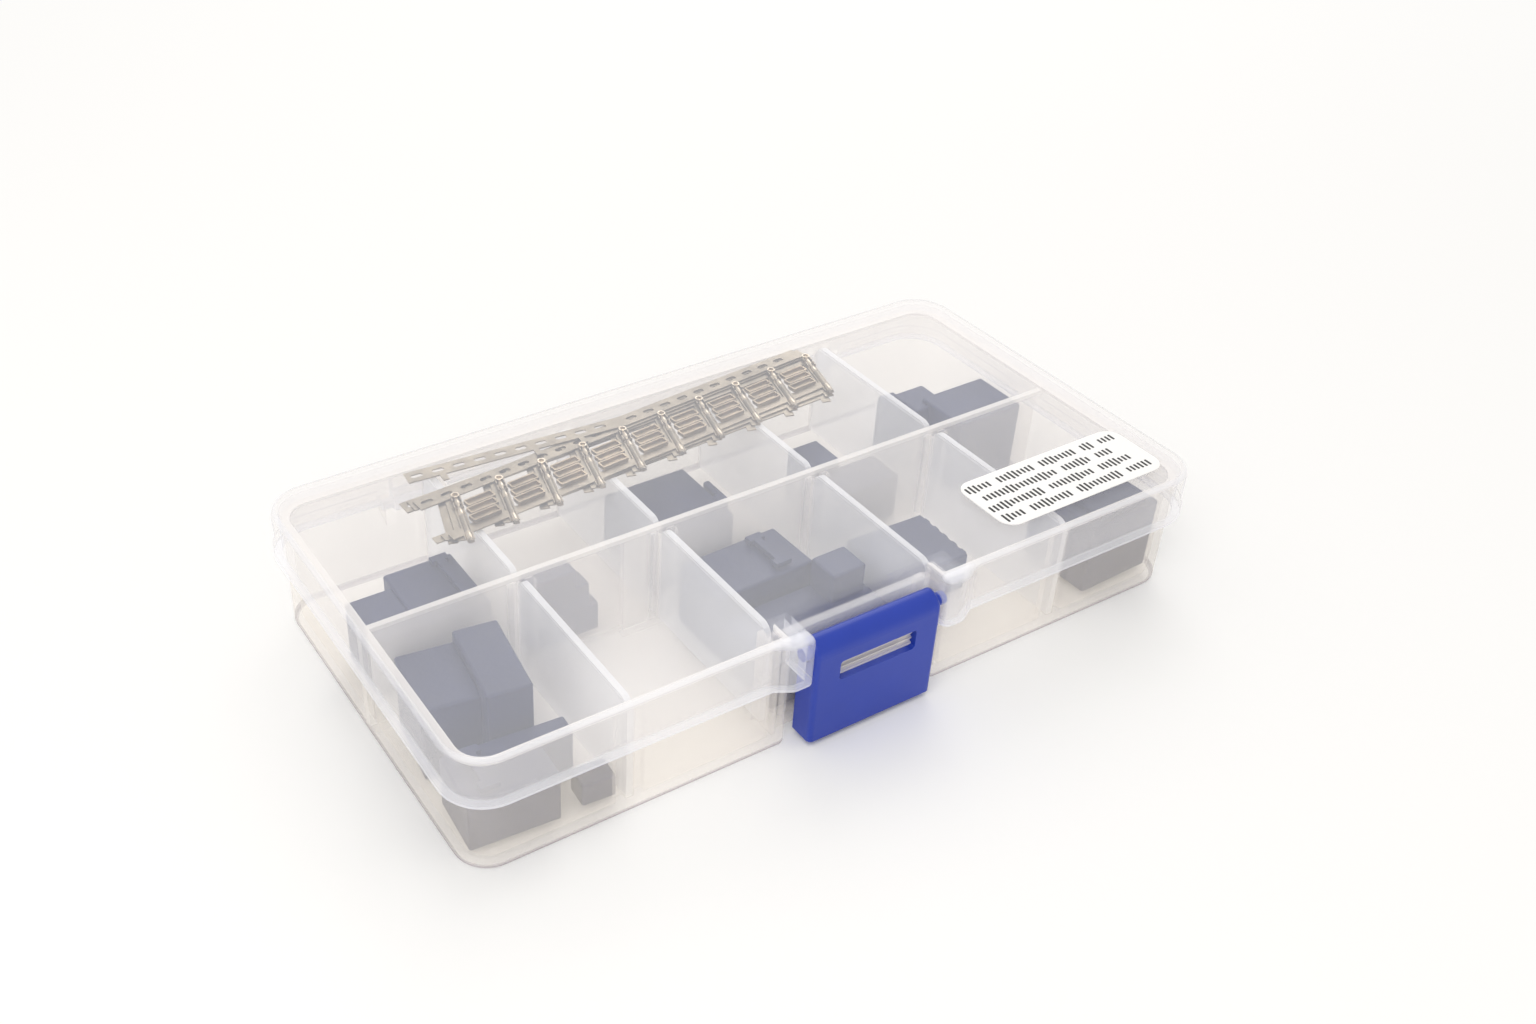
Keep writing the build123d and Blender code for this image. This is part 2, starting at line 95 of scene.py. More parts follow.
class PlasticSettings(bpy.types.PropertyGroup):
    """Colours of the mouldings."""
    lid: colour("Lid", "Tint of the frosted lid", (0.935, 0.938, 0.997))
    tray: colour("Tray", "Tint of the frosted tray", (1.0, 0.943, 0.88))
    # Painted shade: the darker colour mixed into the tray's outline along its foot
    foot: colour("Foot", "Shade along the tray's foot", (0.52, 0.47, 0.49))
    divider: colour("Dividers", "Tint of the divider plates", (0.965, 0.955, 0.96))
    haze: share("Lid haze", "Share of the light that one frosted surface of the lid stops", 0.155)
    tray_haze: share("Tray haze", "The same for the tray", 0.225)
    pass_on: share("Passed on", "Part of the stopped light that still reaches what lies behind", 0.6)
    wall_haze: share("Wall haze", "The same for the dividers and the central wall", 0.40)
    milk: share("Milky edges", "The same for an edge that is seen through its thickness", 0.6)
    latch: colour("Latch", "Blue of the latch", (0.014, 0.044, 0.38))
    housing: colour("Housings", "Blue-black of the nylon housings", (0.008, 0.017, 0.080))


class LabelSettings(bpy.types.PropertyGroup):
    """The label's paper and printing."""
    paper: colour("Paper", "Colour of the label", (0.97, 0.955, 0.93))
    ink: colour("Ink", "Colour of the printed bars", (0.018, 0.018, 0.019))
    row_pitch: length("Row pitch", "From one row of bars to the next", 2.73 * MM)
    bar_width: length("Bar width", "Width of one printed bar", 0.41 * MM)
    bar_height: length("Bar height", "Height of a usual printed bar", 1.45 * MM)
    bar_pitch: length("Bar pitch", "From one printed bar to the next", 0.83 * MM)
    corner: length("Corner", "Radius of the label's corners", 2.6 * MM)
    margin: length("Margin", "From the label's far edge to its first row of bars", 2.1 * MM)


class MetalSettings(bpy.types.PropertyGroup):
    """The tin-plated strips."""
    tin: colour("Tin", "Colour of the plating", (0.45, 0.385, 0.295))
    # Painted shade: a darker copy of the plating for the crimps
    dull_tin_painted_shade: colour("Dull tin", "Colour of the crimps, in the shade of the ridges", (0.42, 0.335, 0.23))
    shine: share("Roughness", "Roughness of the plating", 0.26)
    pitch: length("Terminal pitch", "From one terminal to the next", 8.0 * MM)
    lead: length("Lead", "From the strip's left end to its first terminal", 5.9 * MM)
    terminals: bpy.props.IntProperty(
        name="Terminals", description="Terminals on the strip", default=10, min=1)
    turn: angle("Turn", "How the strip lies in the box", 5.5)
    lean: angle("Lean", "Lean of the terminals", 20.0)
    ridge: length("Ridge", "Radius of the rolled ridge on a terminal", 0.5 * MM)


class StudioSettings(bpy.types.PropertyGroup):
    """Floor, lamps and camera."""
    floor: colour("Floor", "Colour of the light that the floor throws back", (0.93, 0.925, 0.915))
    seen_floor: colour("Seen floor", "Colour of the floor to the viewer", (0.955, 0.945, 0.93))
    warm_floor: colour("Warm floor", "The same through many layers of plastic", (0.99, 0.918, 0.83))
    far_floor: colour("Far floor", "The same, far from the box", (0.99, 0.985, 0.97))
    fill: amount("Fill", "Strength of the light from all round", 0.745)
    key: amount("Key", "Power of the large lamp, in watts", 1.5, "POWER")
    lens: amount("Lens", "Focal length in millimetres", 37.76, "CAMERA")


# Materials -----------------------------------------------------------------------------------------------


def new_material(name):
    """An empty node material with its output and Principled shader."""
    material = bpy.data.materials.new(name)
    material.use_nodes = True
    tree = material.node_tree
    tree.nodes.clear()
    output = tree.nodes.new("ShaderNodeOutputMaterial")
    shader = tree.nodes.new("ShaderNodeBsdfPrincipled")
    tree.links.new(shader.outputs["BSDF"], output.inputs["Surface"])
    return material, tree, shader


def node(tree, kind, **values):
    """A node with some of its input values set; names with an underscore stand for spaces."""
    made = tree.nodes.new(kind)
    for key, value in values.items():
        made.inputs[key.replace("_", " ")].default_value = value
    return made


def mottle_group():
    """Noise that makes a colour a little lighter and darker."""
    tree = bpy.data.node_groups.new("Mottle", "ShaderNodeTree")
    face = tree.interface
    face.new_socket("Colour", in_out="INPUT", socket_type="NodeSocketColor")
    for name, value in (("Scale", 60.0), ("Amount", 0.06)):
        face.new_socket(name, in_out="INPUT", socket_type="NodeSocketFloat").default_value = value
    face.new_socket("Colour", in_out="OUTPUT", socket_type="NodeSocketColor")
    ins = tree.nodes.new("NodeGroupInput")
    outs = tree.nodes.new("NodeGroupOutput")
    place = tree.nodes.new("ShaderNodeTexCoord")
    noise = node(tree, "ShaderNodeTexNoise", Detail=5.0, Roughness=0.6)
    tree.links.new(place.outputs["Object"], noise.inputs["Vector"])
    tree.links.new(ins.outputs["Scale"], noise.inputs["Scale"])
    spread = tree.nodes.new("ShaderNodeMapRange")
    spread.inputs["From Min"].default_value = 0.3
    spread.inputs["From Max"].default_value = 0.7
    spread.inputs["To Min"].default_value = -1.0
    tree.links.new(noise.outputs["Fac"], spread.inputs["Value"])
    scaled = tree.nodes.new("ShaderNodeMath")
    scaled.operation = "MULTIPLY_ADD"
    tree.links.new(spread.outputs["Result"], scaled.inputs[0])
    tree.links.new(ins.outputs["Amount"], scaled.inputs[1])
    scaled.inputs[2].default_value = 1.0
    tint = tree.nodes.new("ShaderNodeHueSaturation")
    tree.links.new(ins.outputs["Colour"], tint.inputs["Color"])
    tree.links.new(scaled.outputs["Value"], tint.inputs["Value"])
    tree.links.new(tint.outputs["Color"], outs.inputs["Colour"])
    return tree


def grain_group():
    """Fine surface grain as a normal, and a roughness that smears between two values."""
    tree = bpy.data.node_groups.new("Grain", "ShaderNodeTree")
    face = tree.interface
    for name, value in (("Scale", 900.0), ("Height", 0.1), ("Low", 0.3), ("High", 0.5)):
        face.new_socket(name, in_out="INPUT", socket_type="NodeSocketFloat").default_value = value
    face.new_socket("Normal", in_out="OUTPUT", socket_type="NodeSocketVector")
    face.new_socket("Roughness", in_out="OUTPUT", socket_type="NodeSocketFloat")
    ins = tree.nodes.new("NodeGroupInput")
    outs = tree.nodes.new("NodeGroupOutput")
    place = tree.nodes.new("ShaderNodeTexCoord")
    noise = node(tree, "ShaderNodeTexNoise", Detail=3.0)
    tree.links.new(place.outputs["Object"], noise.inputs["Vector"])
    tree.links.new(ins.outputs["Scale"], noise.inputs["Scale"])
    bump = node(tree, "ShaderNodeBump", Distance=0.0002)
    tree.links.new(ins.outputs["Height"], bump.inputs["Strength"])
    tree.links.new(noise.outputs["Fac"], bump.inputs["Height"])
    smears = node(tree, "ShaderNodeTexNoise", Scale=45.0, Detail=4.0)
    tree.links.new(place.outputs["Object"], smears.inputs["Vector"])
    ramp = tree.nodes.new("ShaderNodeMapRange")
    tree.links.new(smears.outputs["Fac"], ramp.inputs["Value"])
    tree.links.new(ins.outputs["Low"], ramp.inputs["To Min"])
    tree.links.new(ins.outputs["High"], ramp.inputs["To Max"])
    tree.links.new(bump.outputs["Normal"], outs.inputs["Normal"])
    tree.links.new(ramp.outputs["Result"], outs.inputs["Roughness"])
    return tree


def group(tree, name, **values):
    """Place a shared node group and set its inputs."""
    made = tree.nodes.new("ShaderNodeGroup")
    makers = {"Mottle": mottle_group, "Grain": grain_group, "Zone": zone_group, "Ring": ring_group}
    made.node_tree = bpy.data.node_groups.get(name) or makers[name]()
    for key, value in values.items():
        made.inputs[key.replace("_", " ")].default_value = value
    return made


def moulded(name, tint, low, high, mottle=0.04, grain=0.12, scale=900.0):
    """A slightly uneven colour, fine grain, and a roughness that smears between low and high."""
    material, tree, shader = new_material(name)
    base = group(tree, "Mottle", Colour=(*tint, 1), Scale=70.0, Amount=mottle)
    skin = group(tree, "Grain", Scale=scale, Height=grain, Low=low, High=high)
    tree.links.new(base.outputs["Colour"], shader.inputs["Base Color"])
    tree.links.new(skin.outputs["Normal"], shader.inputs["Normal"])
    tree.links.new(skin.outputs["Roughness"], shader.inputs["Roughness"])
    return material, tree, shader


def link_math(tree, operation, first, second=None):
    """A Math node fed by sockets or numbers; gives its output."""
    made = tree.nodes.new("ShaderNodeMath")
    made.operation = operation
    for socket, value in zip(made.inputs, (first, second)):
        if isinstance(value, (int, float)):
            socket.default_value = value
        elif value is not None:
            tree.links.new(value, socket)
    return made.outputs["Value"]


def link_vector(tree, operation, first, second=None):
    """A Vector Math node fed by sockets or vectors; gives the node."""
    made = tree.nodes.new("ShaderNodeVectorMath")
    made.operation = operation
    for socket, value in zip(made.inputs, (first, second)):
        if isinstance(value, tuple):
            socket.default_value = value
        elif value is not None:
            tree.links.new(value, socket)
    return made


def soft_step(tree, value, start, end):
    """0 below the start and 1 above the end, with a smooth rise between them."""
    made = tree.nodes.new("ShaderNodeMapRange")
    made.interpolation_type = "SMOOTHSTEP"
    tree.links.new(value, made.inputs["Value"])
    for name, limit in (("From Min", start), ("From Max", end)):
        if isinstance(limit, (int, float)):
            made.inputs[name].default_value = limit
        else:
            tree.links.new(limit, made.inputs[name])
    return made.outputs["Result"]


def zone_group():
    """A mask that is 1 inside a box, given by its centre and half sizes, and fades outside it."""
    tree = bpy.data.node_groups.new("Zone", "ShaderNodeTree")
    face = tree.interface
    face.new_socket("Centre", in_out="INPUT", socket_type="NodeSocketVector")
    face.new_socket("Half", in_out="INPUT", socket_type="NodeSocketVector").default_value = (1, 1, 1)
    face.new_socket("Soft", in_out="INPUT", socket_type="NodeSocketFloat").default_value = 0.0005
    face.new_socket("Mask", in_out="OUTPUT", socket_type="NodeSocketFloat")
    ins = tree.nodes.new("NodeGroupInput")
    outs = tree.nodes.new("NodeGroupOutput")
    place = tree.nodes.new("ShaderNodeTexCoord")
    apart = link_vector(tree, "SUBTRACT", place.outputs["Object"], ins.outputs["Centre"])
    apart = link_vector(tree, "ABSOLUTE", apart.outputs["Vector"])
    over = link_vector(tree, "SUBTRACT", apart.outputs["Vector"], ins.outputs["Half"])
    over = link_vector(tree, "MAXIMUM", over.outputs["Vector"], (0.0, 0.0, 0.0))
    far = link_vector(tree, "LENGTH", over.outputs["Vector"])
    fade = soft_step(tree, far.outputs["Value"], 0.0, ins.outputs["Soft"])
    tree.links.new(link_math(tree, "SUBTRACT", 1.0, fade), outs.inputs["Mask"])
    return tree


def ring_group():
    """A mask along the rounded outline of a plate, between two heights."""
    tree = bpy.data.node_groups.new("Ring", "ShaderNodeTree")
    face = tree.interface
    sizes = {
        "Half Length": 0.06, "Half Depth": 0.03, "Corner": 0.008,
        "Top": 0.02, "Band": 0.001, "Ceiling": PAST_ALL,
    }
    for name, value in sizes.items():
        face.new_socket(name, in_out="INPUT", socket_type="NodeSocketFloat").default_value = value
    face.new_socket("Mask", in_out="OUTPUT", socket_type="NodeSocketFloat")
    ins = tree.nodes.new("NodeGroupInput")
    outs = tree.nodes.new("NodeGroupOutput")
    place = tree.nodes.new("ShaderNodeTexCoord")
    axes = tree.nodes.new("ShaderNodeSeparateXYZ")
    tree.links.new(place.outputs["Object"], axes.inputs["Vector"])
    sides = []
    for axis, half in (("X", "Half Length"), ("Y", "Half Depth")):
        far = link_math(tree, "ABSOLUTE", axes.outputs[axis])
        flat = link_math(tree, "SUBTRACT", ins.outputs[half], ins.outputs["Corner"])
        over = link_math(tree, "MAXIMUM", link_math(tree, "SUBTRACT", far, flat), 0.0)
        sides.append(link_math(tree, "MULTIPLY", over, over))
    reach = link_math(tree, "SQRT", link_math(tree, "ADD", sides[0], sides[1]))
    inner = link_math(tree, "SUBTRACT", ins.outputs["Corner"], ins.outputs["Band"])
    under = link_math(tree, "SUBTRACT", ins.outputs["Top"], ins.outputs["Band"])
    outline = soft_step(tree, reach, inner, ins.outputs["Corner"])
    above = soft_step(tree, axes.outputs["Z"], under, ins.outputs["Top"])
    ring = link_math(tree, "MULTIPLY", outline, above)
    fading = link_math(tree, "SUBTRACT", ins.outputs["Ceiling"], ins.outputs["Band"])
    gone = soft_step(tree, axes.outputs["Z"], fading, ins.outputs["Ceiling"])
    low = link_math(tree, "SUBTRACT", 1.0, gone)
    tree.links.new(link_math(tree, "MULTIPLY", ring, low), outs.inputs["Mask"])
    return tree


def frosted(name, tint, haze, milk, zones=(), ring=None, shade=None):
    """Frosted polypropylene, which lets most light through and turns milky where it is seen edge-on.

    Each zone is a centre, half sizes and the share of the light that the plastic stops there.
    The ring is the milky outline; where a shade colour is given, the ring also takes that colour as
    painted shade.
    """
    material, tree, shader = moulded(name, tint, 0.22, 0.42, 0.02, 0.08)
    shader.inputs["IOR"].default_value = 1.49
    view = node(tree, "ShaderNodeLayerWeight", Blend=0.5)
    graze = link_math(tree, "POWER", view.outputs["Facing"], 4.0)
    total = link_math(tree, "MULTIPLY", graze, milk)
    place = tree.nodes.new("ShaderNodeTexCoord")
    cloud = node(tree, "ShaderNodeTexNoise", Scale=35.0, Detail=3.0)
    tree.links.new(place.outputs["Object"], cloud.inputs["Vector"])
    face = tree.nodes.new("ShaderNodeMapRange")
    cloudiness = 0.08
    face.inputs["To Min"].default_value = haze * (1.0 - cloudiness)
    face.inputs["To Max"].default_value = haze * (1.0 + cloudiness)
    tree.links.new(cloud.outputs["Fac"], face.inputs["Value"])
    total = link_math(tree, "MAXIMUM", total, face.outputs["Result"])
    for centre, half, stopped in zones:
        zone = group(tree, "Zone", Centre=centre, Half=half, Soft=0.6 * MM)
        thick = link_math(tree, "MULTIPLY", zone.outputs["Mask"], stopped)
        total = link_math(tree, "MAXIMUM", total, thick)
    if ring is not None:
        band = group(tree, "Ring", **ring)
        rim = link_math(tree, "MULTIPLY", band.outputs["Mask"], milk)
        total = link_math(tree, "MAXIMUM", total, rim)
        # Painted shade: the outline's colour is mixed towards the shade colour, a dark line along the
        # tray's foot
        if shade is not None:
            blend = tree.nodes.new("ShaderNodeMix")
            blend.data_type = "RGBA"
            blend.inputs["B"].default_value = (*shade, 1)
            tree.links.new(shader.inputs["Base Color"].links[0].from_socket, blend.inputs["A"])
            tree.links.new(band.outputs["Mask"], blend.inputs["Factor"])
            tree.links.new(blend.outputs["Result"], shader.inputs["Base Color"])
    path = tree.nodes.new("ShaderNodeLightPath")
    lit = link_math(tree, "MAXIMUM", path.outputs["Is Shadow Ray"], path.outputs["Is Diffuse Ray"])
    kept = link_math(tree, "MULTIPLY", lit, -bpy.context.scene.partsbox_plastic.pass_on)
    total = link_math(tree, "MULTIPLY", total, link_math(tree, "ADD", kept, 1.0))
    tree.links.new(total, shader.inputs["Alpha"])
    return material


def tinned_metal(name, tint, roughness):
    """Tin plating over stamped sheet, with fine grain and darker patches."""
    material, tree, shader = new_material(name)
    base = group(tree, "Mottle", Colour=(*tint, 1), Scale=260.0, Amount=0.22)
    skin = group(tree, "Grain", Scale=1600.0, Height=0.25, Low=roughness * 0.6, High=roughness * 1.5)
    shader.inputs["Metallic"].default_value = 1.0
    tree.links.new(base.outputs["Colour"], shader.inputs["Base Color"])
    tree.links.new(skin.outputs["Normal"], shader.inputs["Normal"])
    tree.links.new(skin.outputs["Roughness"], shader.inputs["Roughness"])
    return material


def paper(name, tint):
    """Coated label paper with a faint fibre."""
    material, _, shader = moulded(name, tint, 0.45, 0.6, 0.02, 0.3, 2600.0)
    shader.inputs["Specular IOR Level"].default_value = 0.35
    return material


def printing(name, tint):
    """Printed ink, a little uneven where the paper shows through."""
    material, _, _ = moulded(name, tint, 0.4, 0.6, 0.5, 0.2, 2600.0)
    return material


def dress(name, material):
    """Give a CAD node its material."""
    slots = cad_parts[name].data.materials
    slots.clear()
    slots.append(material)


# Modelling helpers ---------------------------------------------------------------------------------------


def clear_selection():
    """Nothing selected and object mode."""
    if bpy.context.object and bpy.context.object.mode != "OBJECT":
        bpy.ops.object.mode_set(mode="OBJECT")
    bpy.ops.object.select_all(action="DESELECT")


def pick(piece, kind, test):
    """Select edges or faces by a test on their centre and direction, and enter edit mode."""
    clear_selection()
    piece.select_set(True)
    bpy.context.view_layer.objects.active = piece
    bpy.context.tool_settings.mesh_select_mode = (False, kind == "EDGE", kind == "FACE")
    mesh = piece.data
    for parts in (mesh.vertices, mesh.edges, mesh.polygons):
        parts.foreach_set("select", [False] * len(parts))
    if kind == "FACE":
        for face in mesh.polygons:
            face.select = test(face.center, face.normal)
    else:
        for edge in mesh.edges:
            start, end = (mesh.vertices[i].co for i in edge.vertices)
            edge.select = test((start + end) / 2, (end - start).normalized())
    bpy.ops.object.mode_set(mode="EDIT")


def upright(_, way):
    """Whether an edge stands upright."""
    return abs(way.z) > 0.9


def facing_up(_, normal):
    """Whether a face looks up."""
    return normal.z > 0.9


def done():
    """Turn the faces outwards and leave edit mode."""
    bpy.ops.mesh.select_all(action="SELECT")
    bpy.ops.mesh.normals_make_consistent(inside=False)
    bpy.ops.object.mode_set(mode="OBJECT")


def block(centre, size):
    """A box of a size about a centre, to be shaped further."""
    clear_selection()
    bpy.ops.mesh.primitive_cube_add(size=1, location=centre)
    piece = bpy.context.object
    piece.scale = size
    bpy.ops.object.transform_apply(location=False, rotation=False, scale=True)
    return piece


def copied(piece, place, turn=0.0):
    """A copy with its own mesh, moved to a place and turned about the vertical."""
    twin = piece.copy()
    twin.data = piece.data.copy()
    bpy.context.collection.objects.link(twin)
    twin.location = place
    twin.rotation_euler = (0, 0, turn)
    return twin


def joined(pieces):
    """All the pieces as one."""
    clear_selection()
    for piece in pieces:
        piece.select_set(True)
    bpy.context.view_layer.objects.active = pieces[0]
    bpy.ops.object.join()
    return bpy.context.object


def settle(piece, name, material, body):
    """Name a finished piece, apply its place, and let it ride on its body."""
    clear_selection()
    piece.select_set(True)
    bpy.context.view_layer.objects.active = piece
    bpy.ops.object.transform_apply(location=True, rotation=True, scale=True)
    piece.name = name
    piece.data.name = name
    piece.data.materials.clear()
    piece.data.materials.append(material)
    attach(piece, body)


# Operators -----------------------------------------------------------------------------------------------


class PARTSBOX_OT_mouldings(bpy.types.Operator):
    """Give the tray, dividers and lid their frosted plastic"""
    bl_idname = "partsbox.mouldings"
    bl_label = "Frosted Mouldings"

    def execute(self, context):
        look = context.scene.partsbox_plastic
        inner_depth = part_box("divider_back_1")[1][1]
        # The band along the tray's foot, where the foot colour is painted in as painted shade
        foot = {
            "Half_Length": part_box("base_tray")[1][0] - 0.2 * MM,
            "Half_Depth": inner_depth + 1.2 * MM,
            "Corner": 5.0 * MM, "Top": -PAST_ALL, "Band": 0.8 * MM, "Ceiling": 1.3 * MM,
        }
        dress("base_tray", frosted(
            "frosted_tray", look.tray, look.tray_haze, look.milk, self.tray_zones(look),
            foot, look.foot))
        lid_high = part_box("lid")[1]
        edge = {
            "Half_Length": lid_high[0] - 0.3 * MM,
            "Half_Depth": inner_depth + 2.9 * MM,
            "Corner": 6.6 * MM, "Top": lid_high[2], "Band": 1.4 * MM,
        }
        dress("lid", frosted(
            "frosted_lid", look.lid, look.haze, look.milk, self.lid_zones(look), edge))
        divider_top = (0.0, 0.0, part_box("divider_front_1")[1][2])
        top = [(divider_top, (PAST_ALL, PAST_ALL, 0.4 * MM), look.milk)]
        plate = frosted("frosted_divider", look.divider, look.wall_haze, look.milk, top)
        for name in nodes_named("divider_"):
            dress(name, plate)
        return {"FINISHED"}

    @staticmethod
    def tray_zones(look):
        """The tray's rim and catch, and the central wall where no housing lies close behind it."""
        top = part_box("base_tray")[1][2]
        divider_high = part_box("divider_front_1")[1]
        half_wall = -divider_high[1] - 0.1 * MM
        housing_low, housing_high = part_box("housing_back_2_upright")
        left_end = housing_low[0] - 4.0 * MM
        start = housing_high[0] + 3.0 * MM
        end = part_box("housing_back_5_stair")[0][0] - 3.0 * MM
        latch_low, latch_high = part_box("latch")
        catch = (0.0, latch_low[1] + 3.0 * MM, latch_high[2] - 6.0 * MM)
        catch_half = (6.6 * MM, 3.0 * MM, 1.6 * MM)
        catch_haze = 0.3
        return [
            ((0.0, 0.0, top), (PAST_ALL, PAST_ALL, 0.2 * MM), look.milk),
            ((0.0, 0.0, divider_high[2]), (PAST_ALL, half_wall, 0.5 * MM), look.milk),
            ((left_end - PAST_ALL, 0.0, 0.0), (PAST_ALL, half_wall, PAST_ALL), look.wall_haze),
            (((start + end) / 2, 0.0, 0.0), ((end - start) / 2, half_wall, PAST_ALL), look.wall_haze),
            (catch, catch_half, catch_haze),
        ]

    @staticmethod
    def lid_zones(look):
        """The band round the lid's foot, and the thick ears and lip round the latch."""
        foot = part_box("lid")[0][2]
        latch_low, latch_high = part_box("latch")
        ears = (0.0, latch_low[1], latch_high[2])
        ears_half = (latch_high[0] + 3.0 * MM, 6.0 * MM, 10.0 * MM)
        return [
            ((0.0, 0.0, foot), (PAST_ALL, PAST_ALL, 2.8 * MM), look.wall_haze),
            (ears, ears_half, look.tray_haze),
        ]


class PARTSBOX_OT_latch(bpy.types.Operator):
    """Give the latch its blue gloss"""
    bl_idname = "partsbox.latch"
    bl_label = "Latch"

    def execute(self, context):
        tint = context.scene.partsbox_plastic.latch
        blue, _, shader = moulded("blue_latch", tint, 0.24, 0.4, 0.06, 0.06)
        shader.inputs["IOR"].default_value = 1.49
        dress("latch", blue)
        return {"FINISHED"}


class PARTSBOX_OT_contents(bpy.types.Operator):
    """Give the connector housings and the terminal strips their finish"""
    bl_idname = "partsbox.contents"
    bl_label = "Contents"

    def execute(self, context):
        scene = context.scene
        nylon, _, _ = moulded("black_nylon", scene.partsbox_plastic.housing, 0.38, 0.55, 0.15, 0.25)
        for name in nodes_named("housing_"):
            dress(name, nylon)
        flat_tint = [0.85 * part for part in scene.partsbox_metal.tin]
        tin = tinned_metal("tin_plating", flat_tint, 0.42)
        for name in nodes_named("terminal_strip_") + ["carrier_offcut"]:
            dress(name, tin)
        return {"FINISHED"}


class PARTSBOX_OT_terminals(bpy.types.Operator):
    """Form the rolled ridges, eyelets and crimps of the uppermost terminal strip"""
    bl_idname = "partsbox.terminals"
    bl_label = "Formed Terminals"

    def execute(self, context):
        look = context.scene.partsbox_metal
        low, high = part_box("terminal_strip_upper")
        carrier_half = 1.4 * MM
        sheet = 0.2 * MM
        past_last = 0.7 * MM
        start = Vector((low[0] + carrier_half * math.sin(look.turn), 0, low[2] + sheet))
        span = look.lead + (look.terminals - 1) * look.pitch + past_last
        start.y = high[1] - span * math.sin(look.turn) - carrier_half * math.cos(look.turn)
        along = Vector((math.cos(look.turn), math.sin(look.turn), 0))
        across = Vector((math.sin(look.turn), -math.cos(look.turn), 0))
        slope = look.turn - look.lean
        down = Vector((math.sin(slope), -math.cos(slope), 0))
        roots = [
            start + along * (look.lead + number * look.pitch) + across * carrier_half
            for number in range(look.terminals)]
        # Painted highlight: the ridges and eyelets get a copy of the plating half as light again, besides
        # a lower roughness
        painted_highlight_tint = [min(1.0, 1.5 * part) for part in look.tin]
        shiny_tin_painted_highlight = tinned_metal("shiny_tin_with_painted_highlight", painted_highlight_tint, look.shine * 0.8)
        # Painted shade: the crimps get a darker copy of the plating, besides a higher roughness
        dull_tin_painted_shade = tinned_metal("dull_tin_with_painted_shade", look.dull_tin_painted_shade, 0.38)
        ridge = self.ridge(look.ridge)
        ridges = [copied(ridge, root, slope) for root in roots]
        self.finish(ridge, ridges, "terminal_ridges", shiny_tin_painted_highlight)
        eyelet = self.eyelet()
        eyelets = [copied(eyelet, root + down * 0.3 * MM, slope) for root in roots]
        self.finish(eyelet, eyelets, "terminal_eyelets", shiny_tin_painted_highlight)
        crimp = self.crimp()
        near_middle = 0.46
        between = along * look.pitch * near_middle
        crimp_rows = (3.3, 5.3, 7.3)  # millimetres from the carrier
        crimps = [
            copied(crimp, root + between + down * reach * MM, look.turn)
            for root in roots[:-1] for reach in crimp_rows]
        self.finish(crimp, crimps, "terminal_crimps", dull_tin_painted_shade)
        return {"FINISHED"}

    @staticmethod
    def finish(pattern, copies, name, material):
        """Drop the pattern, join its copies and settle the result on the tray."""
        bpy.data.objects.remove(pattern)
        piece = joined(copies)
        settle(piece, name, material, "tray")
        clear_selection()
        piece.select_set(True)
        bpy.context.view_layer.objects.active = piece
        bpy.ops.object.shade_smooth_by_angle(angle=math.radians(50))

    @staticmethod
    def ridge(radius):
        """A bar drawn out towards -Y with two necks and a rounded tip.

        Each section is its reach in millimetres and its share of the radius.
        """
        root = [(0.3, 0.35), (0.6, 1.0), (2.4, 1.0)]
        first_neck = [(2.7, 0.66), (3.2, 0.66)]
        middle = [(3.5, 1.04), (5.3, 1.04)]
        second_neck = [(5.6, 0.62), (6.1, 0.62)]
        bar = [(6.5, 1.0), (9.6, 1.0)]
        tip = [(10.2, 1.12), (11.5, 1.12), (11.9, 0.75), (12.05, 0.35)]
        sections = root + first_neck + middle + second_neck + bar + tip
        clear_selection()
        first = sections[0][0] * MM
        bpy.ops.mesh.primitive_circle_add(
            vertices=12, radius=radius * sections[0][1], fill_type="NGON", location=(0, -first, 0),
            rotation=(math.radians(90), 0, 0))
        piece = bpy.context.object
        bpy.ops.object.transform_apply(location=True, rotation=True, scale=True)
        bpy.ops.object.mode_set(mode="EDIT")
        bpy.ops.mesh.select_all(action="SELECT")
        for (near, old_size), (far, new_size) in zip(sections, sections[1:]):
            step = (0, (near - far) * MM, 0)
            bpy.ops.mesh.extrude_region_move(TRANSFORM_OT_translate={"value": step})
            size = new_size / old_size
            bpy.ops.transform.resize(value=(size, 1, size), center_override=(0, -far * MM, 0))
        done()
        return piece

    @staticmethod
    def eyelet():
        """A short upright collar with a deep mouth."""
        height = 0.6 * MM
        mouth = (0, 0, -0.5 * MM)
        clear_selection()
        bpy.ops.mesh.primitive_cylinder_add(
            vertices=14, radius=0.66 * MM, depth=height, location=(0, 0, height / 2))
        piece = bpy.context.object
        bpy.ops.object.transform_apply(location=True, rotation=True, scale=True)
        pick(piece, "FACE", facing_up)
        bpy.ops.mesh.inset(thickness=0.2 * MM)
        bpy.ops.mesh.extrude_region_move(TRANSFORM_OT_translate={"value": mouth})
        done()
        return piece

    @staticmethod
    def crimp():
        """An open trough with low walls, for the wire."""
        height = 0.6 * MM
        hollow = (0, 0, -0.45 * MM)
        piece = block((0, 0, height / 2), (5.0 * MM, 1.7 * MM, height))
        bpy.ops.object.transform_apply(location=True, rotation=True, scale=True)
        pick(piece, "EDGE", upright)
        bpy.ops.mesh.bevel(offset=0.25 * MM, segments=2, affect="EDGES")
        pick(piece, "FACE", facing_up)
        bpy.ops.mesh.inset(thickness=0.26 * MM)
        bpy.ops.mesh.extrude_region_move(TRANSFORM_OT_translate={"value": hollow})
        done()
        return piece


